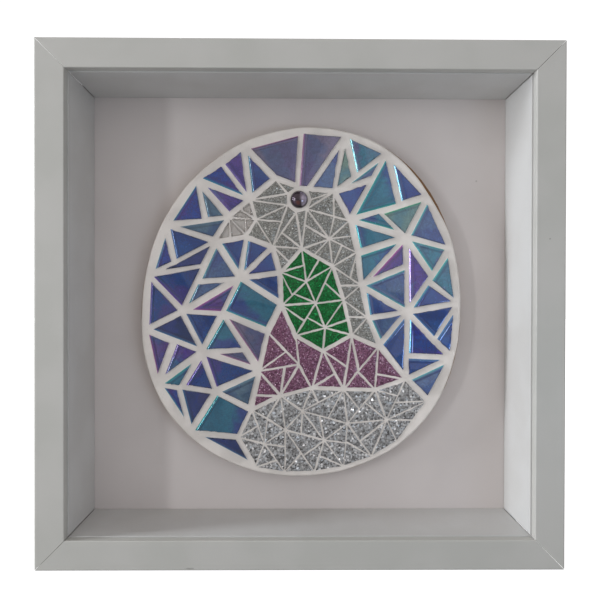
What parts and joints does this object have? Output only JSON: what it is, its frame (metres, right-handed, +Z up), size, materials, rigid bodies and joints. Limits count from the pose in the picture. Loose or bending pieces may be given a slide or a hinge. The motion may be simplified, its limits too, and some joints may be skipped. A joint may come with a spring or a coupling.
{
  "type": "framed mosaic panel",
  "caption": "Deep square white box frame holding an oval glass mosaic of a bird in profile on a white backing.",
  "frame": {"origin": "under the middle of the frame, on the surface it stands on", "axes": "+Z up, +X to the right as seen from the front, the picture faces -Y and the back faces +Y"},
  "size_m": [0.25, 0.045, 0.25],
  "materials": {
    "white_frame": "satin white foil over fibreboard",
    "white_spacer": "satin white foil over fibreboard",
    "backing_card": "matt off-white card",
    "hardboard": "plain brown hardboard",
    "steel": "thin bright sheet steel",
    "mdf": "sawn fibreboard edge",
    "grout": "matt off-white cement grout",
    "eye_glass": "polished dark plum glass dome",
    "beak_glass": "clear, slightly pearly glass",
    "silver_glitter": "fine silver glitter under thin glass",
    "green_glitter": "fine green glitter under thin glass",
    "mauve_glitter": "fine mauve glitter under thin glass",
    "coarse_silver_glitter": "coarse silver glitter under thin glass",
    "glass_blue": "iridescent coated glass tile, nipped edges",
    "glass_teal": "iridescent coated glass tile, nipped edges",
    "glass_violet": "iridescent coated glass tile, nipped edges",
    "glass_cobalt": "iridescent coated glass tile, nipped edges",
    "glass_grey_blue": "iridescent coated glass tile, nipped edges",
    "glass_mauve": "iridescent coated glass tile, nipped edges",
    "glass_light_blue": "iridescent coated glass tile, nipped edges",
    "glass_indigo": "iridescent coated glass tile, nipped edges"
  },
  "bodies": {
    "root": {"frame_rail_top": "white_frame", "frame_rail_right": "white_frame", "frame_rail_bottom": "white_frame", "frame_rail_left": "white_frame", "spacer_top": "white_spacer", "spacer_right": "white_spacer", "spacer_bottom": "white_spacer", "spacer_left": "white_spacer", "backing_board": "backing_card", "back_panel": "hardboard", "panel_tab_top": "steel", "panel_tab_right": "steel", "panel_tab_bottom": "steel", "panel_tab_left": "steel", "sawtooth_hanger": "steel", "oval_board": "mdf", "grout": "grout", "eye": "eye_glass", "beak_tiles": "beak_glass", "head_tiles": "silver_glitter", "neck_tiles": "green_glitter", "breast_tiles": "mauve_glitter", "body_tiles": "coarse_silver_glitter", "ground_small_tiles": "glass_blue", "ground_tile_01": "glass_blue", "ground_tile_02": "glass_teal", "ground_tile_03": "glass_violet", "ground_tile_04": "glass_cobalt", "ground_tile_05": "glass_grey_blue", "ground_tile_06": "glass_mauve", "ground_tile_07": "glass_light_blue", "ground_tile_08": "glass_indigo", "ground_tile_09": "glass_blue", "ground_tile_10": "glass_teal", "ground_tile_11": "glass_violet", "ground_tile_12": "glass_cobalt", "ground_tile_13": "glass_grey_blue", "ground_tile_14": "glass_mauve", "ground_tile_15": "glass_light_blue", "ground_tile_16": "glass_indigo", "ground_tile_17": "glass_blue", "ground_tile_18": "glass_teal", "ground_tile_19": "glass_violet", "ground_tile_20": "glass_cobalt", "ground_tile_21": "glass_grey_blue", "ground_tile_22": "glass_mauve", "ground_tile_23": "glass_light_blue", "ground_tile_24": "glass_indigo", "ground_tile_25": "glass_blue", "ground_tile_26": "glass_teal", "ground_tile_27": "glass_violet", "ground_tile_28": "glass_cobalt", "ground_tile_29": "glass_grey_blue", "ground_tile_30": "glass_mauve", "ground_tile_31": "glass_light_blue", "ground_tile_32": "glass_indigo", "ground_tile_33": "glass_blue", "ground_tile_34": "glass_teal"}
  },
  "joints": []
}
